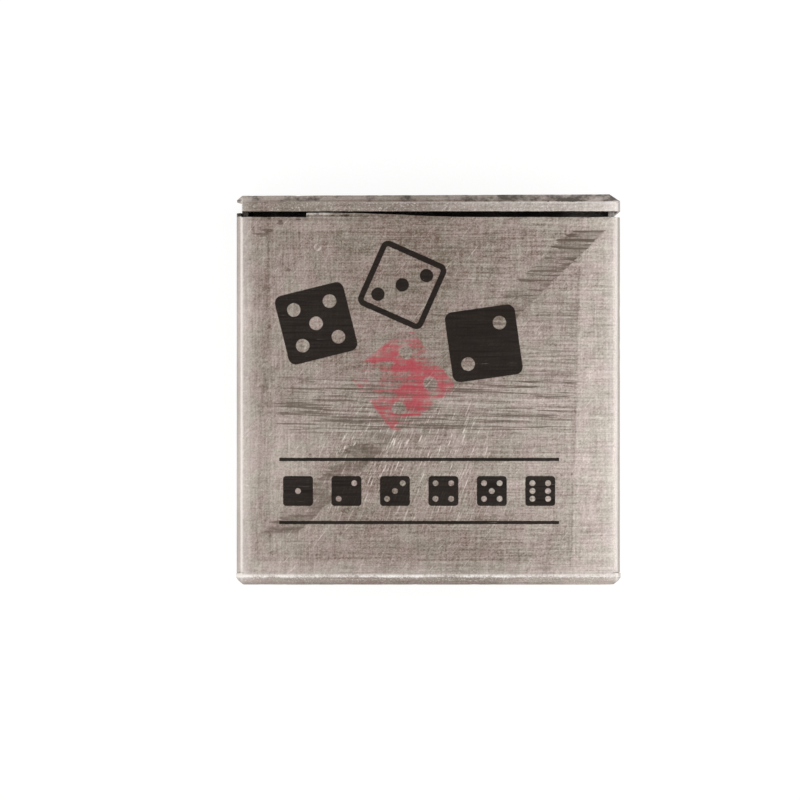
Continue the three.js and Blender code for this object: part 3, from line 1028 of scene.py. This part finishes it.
def worn_edges_and_highlights(shader, base, patches, grain):
    """Folded ridges worn bare, with painted highlights, and bevels beyond them with grime and painted shade.
    """
    x, y, z = shader.x, shader.y, shader.z
    from_fold = y - (Y_CLOSED + END_BEVEL) / MM
    from_cap_fold = y - (Y_CAP_END - CAP_BEVEL) / MM
    from_cap_edge = y - Y_CAP_EDGE / MM
    from_side = HALF - abs(x)
    top = (z - TOP).ramp(-1.0, -0.3)
    wobble = patches * 0.7 + grain * 0.5

    # Painted highlights over metal worn bare: bright lines along the side folds, the closed end's fold and
    # the cap's fold, where the lamps' reflections fall. The cap's bevel is painted lighter, as light on a
    # face the lamps reach less.
    side_glow = from_side.ramp(2.6, 0.9) * 0.22 + abs(from_side - 0.6 + x * 0.004).ramp(0.24, 0.05) * 0.36
    end_glow = abs(from_fold - 0.1 + wobble * 0.5).ramp(0.36, 0.05) * 0.5 * (1 + wobble * 5.0)
    end_glow = end_glow + from_fold.ramp(2.4, 0.4) * 0.1
    cap_glow = abs(from_cap_fold + 0.12 + wobble * 0.4).ramp(0.26, 0.05) * (0.12 + x * 0.005)
    strip = from_cap_edge.ramp(-0.05, 0.0) * from_cap_fold.ramp(0.0, -0.1) * (0.12 + x * 0.007)
    bevel = from_cap_fold.ramp(0.1, 0.3) * 0.15 * (z - TOP).ramp(-1.4, -1.0)
    worn = (side_glow + end_glow + cap_glow + strip) * top + bevel
    base = shader.colour(worn.most(0.0).least(0.85), base, BARE_METAL_AND_HIGHLIGHT)

    # Bright flecks on the cap's strip and the closed end's bevel: painted glints on worn metal.
    flecks = from_cap_edge.ramp(-0.2, 0.2) * from_cap_fold.ramp(0.0, -0.2) * 0.6 + from_fold.ramp(0.0, -0.2)
    base = shader.colour(flecks * grain.ramp(0.06, 0.2) * top * 0.6, base, BARE_METAL_AND_HIGHLIGHT)

    # Grime and painted shade: the bevels past the cap's fold and the closed end's fold, and the right side's
    # outer edge, are darkened, as grime and as the shade these faces turn into.
    past_cap = (from_cap_fold + 0.05 + wobble * 0.7).ramp(0.0, 0.15)
    past_cap = past_cap * (0.1 + x.ramp(8.0, 18.0) * 0.45 + patches * 4.4)
    past_fold = from_fold.ramp(-0.1, -0.3) * (patches * 1.3 - 0.06)
    past_side = from_side.ramp(0.4, 0.2) * (x * 0.008).most(0.0)
    grime_and_shade = (past_cap + past_fold + past_side) * (z - TOP).ramp(-1.8, -0.8)
    base = shader.colour(grime_and_shade.most(0.0).least(0.85), base, GRIME_AND_SHADE)

    # Painted highlight: the dome's sides are lightened by how far they tilt.
    dome = shader.about((PIMPLE_FROM_LEFT - HALF_WIDTH) / MM, (Y_MOUTH - PIMPLE_FROM_MOUTH) / MM)
    dome = shader.vector("LENGTH", dome).ramp(0.56, 0.5)
    tilt = shader.ny - shader.nx
    return shader.colour(dome * abs(tilt).ramp(0.12, 0.5) * 0.28, base, BARE_METAL_AND_HIGHLIGHT)


def mouth_wear_light_and_shade(shader, base, patches, grain):
    """Brown nicks along the mouth, painted shade in its left corner, and by the slot a painted highlight on
    the raised edge with a painted shadow line below it.
    """
    x = shader.x
    from_mouth = shader.y - MOUTH
    on_case = from_mouth.ramp(0.1, 0.06)
    past_slot = (x - SLOT_LENGTH / MM + HALF).ramp(-0.05, 0.05) * on_case * (shader.z - TOP).ramp(-1.0, -0.3)
    # Painted highlight: the raised edge past the slot is lightened where it catches the light.
    bright = past_slot * x.ramp(-12.2, -13.4) * from_mouth.ramp(-0.35, -0.22)
    base = shader.colour(bright * 0.25, base, BARE_METAL_AND_HIGHLIGHT)
    nicked = from_mouth.ramp(-1.15, -0.25) * on_case
    nicked = nicked * shader.noise((1.1, 1.6, 1.1), seed=22).ramp(0.04, 0.13)
    # Painted shade, with grime: the mouth's left corner, at the slot's end, lies in the gap's shade.
    corner = from_mouth.ramp(-0.55, -0.45) * on_case * x.ramp(-23.95, -24.1)
    # Painted shadow line just below the mouth's edge past the slot, under its raised edge.
    shadow_line = abs(from_mouth + 0.42 + (patches * 0.7 + grain * 0.5) * 0.3).ramp(0.17, 0.04)
    shadow_line = shadow_line * past_slot * x.ramp(-5.0, -10.0)
    return shader.colour((nicked * 0.5 + corner * 0.95 + shadow_line * 0.45).least(1.0), base, BROWN)


def inked(shader, base, face, across, grain):
    """The face's print, scratched through here and there, over the traces of an older red one."""
    rows = shader.noise((0.14, 3.2, 0.0), seed=31)
    spots = shader.noise((1.0, 1.0, 0.0), seed=32)
    wide = shader.noise((0.22, 0.22, 0.0), seed=33, detail=2.0, rough=0.5)
    left = (0.62 + wide * 3.0 + rows * 1.6 + spots * 0.9 + grain * 0.7).ramp(0.3, 1.0)
    red = (die_print(shader, shader.place, *RED_DIE) + spots * 0.5).ramp(0.25, -0.15)
    base = shader.colour(red * left * face * 0.8, base, RED_INK)
    rubbed = (rows.ramp(0.2, 0.26) + spots.ramp(0.24, 0.28)).least(1.0)
    ink = printed(shader).ramp(0.05, -0.05) * face
    ink = ink * (1 - rubbed * 0.4) * (0.97 + across * 0.15)
    return shader.colour(ink, base, INK)


def dark_tin():
    """The tray's duller tinplate: less worn, with faint rolling marks, rubbed rims, and painted shade with
    grime by the cap.
    """
    shader = Shader("tray_tin_and_painted_shade")
    x, y, z = shader.x, shader.y, shader.z
    rolling = shader.noise((2.4, 0.08, 2.4), seed=41)
    cross = shader.noise((0.09, 2.4, 2.4), seed=42)
    clouds = shader.noise(0.12, seed=43)
    spots = shader.noise(1.2, seed=44)
    tone = 0.5 + rolling * 0.45 + cross * 0.3 + clouds * 0.6
    base = shader.colour(tone.ramp(0.0, 1.0), TRAY_DARK, TRAY_LIGHT)
    base = shader.colour(spots.ramp(0.2, 0.3) * 0.4, base, GRIME_AND_SHADE)
    rim = z.ramp(11.2, 11.9) * (0.5 + spots) * y.ramp(22.0, 20.0)
    base = shader.colour(rim.most(0.0).least(0.8), base, TRAY_RIM)
    # Painted shade, with grime: the floor and the walls' ends by the cap, which lie in shade under the slit,
    # are darkened.
    corner = (y.ramp(20.8, 22.8) * z.ramp(4.0, 1.6)).most(y.ramp(21.9, 22.5))
    corner = corner * 0.88 * x.ramp(21.0, 17.0)
    base = shader.colour(corner * (1 + clouds), base, CAP_SHADE_AND_GRIME)
    rough = 0.4 + clouds * 0.15 + spots * 0.1
    return shader.finish(base, rough, rolling + cross * 0.6 + spots, 0.02, Metallic=0.78)


def resin(name, low, high, rough, spread_share):
    """Cast resin with faint clouds in it, polished but for fine scuffs.

    Each die's tone is its own, by spread_share.
    """
    shader = Shader(name)
    each = shader.node("ShaderNodeObjectInfo", "Random")
    drift = shader.vector("ADD", shader.place, shader.point(each * 40, each * 23, each * 11))
    clouds = shader.noise(0.35, seed=51, at=drift)
    specks = shader.noise(3.5, seed=52, detail=2.0, at=drift)
    scuffs = shader.noise((0.5, 5.0, 3.0), seed=53, rough=0.65, at=drift)
    tone = 0.5 + clouds * 0.9 + specks * 0.25 + (each - 0.5) * spread_share
    base = shader.colour(tone.ramp(0.0, 1.0), low, high)
    gloss = rough + scuffs.ramp(0.05, 0.25) * 0.22 + clouds * 0.1
    return shader.finish(base, gloss, scuffs * 0.6 + clouds * 2, 0.006, Subsurface_Weight=0.08,
                         Subsurface_Radius=(0.0012, 0.0007, 0.0005), Subsurface_Scale=1.0,
                         Coat_Weight=0.25, Coat_Roughness=0.12)


def pip_paint(name, tone):
    """Matt paint in a pip, a little darker here and there."""
    shader = Shader(name)
    fleck = shader.noise(2.0, seed=61)
    base = shader.colour((0.5 + fleck).ramp(0.1, 0.9), tuple(v * 0.75 for v in tone), tone)
    return shader.finish(base, 0.42 + fleck * 0.2, fleck, 0.01)


def paper():
    """Thin uncoated paper with fibres and a faint yellowing in patches."""
    shader = Shader("paper")
    fibres = shader.noise((0.9, 6.0, 4.0), seed=71, detail=4.0, rough=0.7, at=shader.spun(shader.place, 33))
    pulp = shader.noise(1.4, seed=72, detail=4.0)
    age = shader.noise(0.15, seed=73, detail=2.0, rough=0.5)
    tone = 0.55 + fibres * 0.5 + pulp * 0.35 + age * 0.7
    base = shader.colour(tone.ramp(0.0, 1.0), PAPER_DARK, PAPER_LIGHT)
    return shader.finish(base, 0.88 + pulp * 0.1, fibres + pulp, 0.02)


# Stage

def make_camera():
    camera = bpy.data.cameras.new("camera")
    camera.lens = LENS
    camera.sensor_width = SENSOR
    distance = VIEW_WIDTH * LENS / SENSOR
    camera.clip_start = distance / 100
    camera.clip_end = distance * 100
    obj = bpy.data.objects.new("camera", camera)
    obj.location = VIEW_CENTRE + Vector((0, 0, DEPTH + distance))
    bpy.context.scene.collection.objects.link(obj)
    bpy.context.scene.camera = obj


def make_lamp(name, azimuth, elevation, power):
    """A soft lamp that looks at the case. Azimuth 0 stands at -Y and 90 at +X."""
    light = bpy.data.lights.new(name, "AREA")
    light.shape = "DISK"
    light.size = LAMP_SIZE
    light.energy = power
    obj = bpy.data.objects.new(name, light)
    a = math.radians(azimuth)
    e = math.radians(elevation)
    away = Vector((math.sin(a) * math.cos(e), -math.cos(a) * math.cos(e), math.sin(e)))
    obj.location = away * LAMP_DISTANCE
    obj.rotation_mode = "QUATERNION"
    obj.rotation_quaternion = (-away).to_track_quat("-Z", "Y")
    bpy.context.scene.collection.objects.link(obj)


def add_node(tree, kind, *sources, **values):
    """The first output of a node whose first inputs take sources, and whose others have values."""
    made = tree.nodes.new(kind)
    for source, socket in zip(sources, made.inputs):
        tree.links.new(source, socket)
    for key, value in values.items():
        made.inputs[key].default_value = value
    return made.outputs[0]


def seen_by(tree, *rays):
    """One where the camera looks, or a ray of one of these kinds, and nothing elsewhere."""
    path = tree.nodes.new("ShaderNodeLightPath")
    seen = path.outputs["Is Camera Ray"]
    for ray in rays:
        seen = add_node(tree, "ShaderNodeMath", seen, path.outputs[ray])
        seen.node.operation = "MAXIMUM"
    return seen


def make_world():
    """White where the camera, a mirror or glass looks, and a soft sky for everything else."""
    world = bpy.data.worlds.new("studio")
    world.use_nodes = True
    bpy.context.scene.world = world
    tree = world.node_tree
    tree.nodes.clear()
    soft = add_node(tree, "ShaderNodeBackground", Color=(1, 1, 1, 1), Strength=SKY_STRENGTH)
    white = add_node(tree, "ShaderNodeBackground", Color=(1, 1, 1, 1))
    seen = seen_by(tree, "Is Glossy Ray", "Is Transmission Ray")
    output = tree.nodes.new("ShaderNodeOutputWorld")
    tree.links.new(add_node(tree, "ShaderNodeMixShader", seen, soft, white), output.inputs["Surface"])


def make_floor():
    """A pale floor that shows white, with the case's shadow on it."""
    bm = bmesh.new()
    bmesh.ops.create_grid(bm, x_segments=1, y_segments=1, size=FLOOR_SIZE)
    floor = object_of("floor", bm)
    material = bpy.data.materials.new("floor")
    material.use_nodes = True
    tree = material.node_tree
    tree.nodes.clear()
    plain = add_node(tree, "ShaderNodeBsdfDiffuse", Color=FLOOR_PLAIN)
    faint = add_node(tree, "ShaderNodeBsdfDiffuse", Color=FLOOR_FAINT)
    glow = add_node(tree, "ShaderNodeEmission", Strength=FLOOR_GLOW)
    lit = add_node(tree, "ShaderNodeAddShader", faint, glow)
    seen = seen_by(tree, "Is Glossy Ray")
    output = tree.nodes.new("ShaderNodeOutputMaterial")
    tree.links.new(add_node(tree, "ShaderNodeMixShader", seen, plain, lit), output.inputs["Surface"])
    paint(floor, material)


def dress(obj, materials, body, slot, *nodes):
    """Gives a piece its materials, its body and the nodes it stands for. slot is not used."""
    paint(obj, *materials)
    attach(obj, body)
    if nodes:
        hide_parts(*nodes)


def main():
    make_camera()
    make_world()
    for name, aim in LAMPS.items():
        make_lamp(name, *aim)
    make_floor()
    bpy.context.scene.view_settings.view_transform = "Standard"

    outer = tin("worn_tin_and_painted_light")
    inner = tin("inner_tin", inside=True)
    dress(make_sleeve(), [outer, inner], "case", "tinplate", "sleeve")
    dress(make_pimple(), [outer], "case", "tinplate")
    dress(make_cap(), [outer, inner], "drawer", "tinplate", "end_cap")
    dress(make_tray(), [dark_tin()], "drawer", "dark_tin", "tray")
    dress(make_leaflet(), [paper()], "drawer", "paper", "rules_leaflet")

    resins = {
        "ivory": resin("ivory_resin", IVORY_DARK, IVORY_LIGHT, 0.24, 0.25),
        "red": resin("red_resin", RED_DARK, RED_LIGHT, 0.2, 0.2),
    }
    paints = {"ivory": pip_paint("pip_black", PIP_BLACK), "red": pip_paint("pip_white", PIP_WHITE)}
    for obj, node, colour in make_dice():
        dress(obj, [resins[colour], paints[colour]], "drawer", f"{colour}_resin", node)


main()
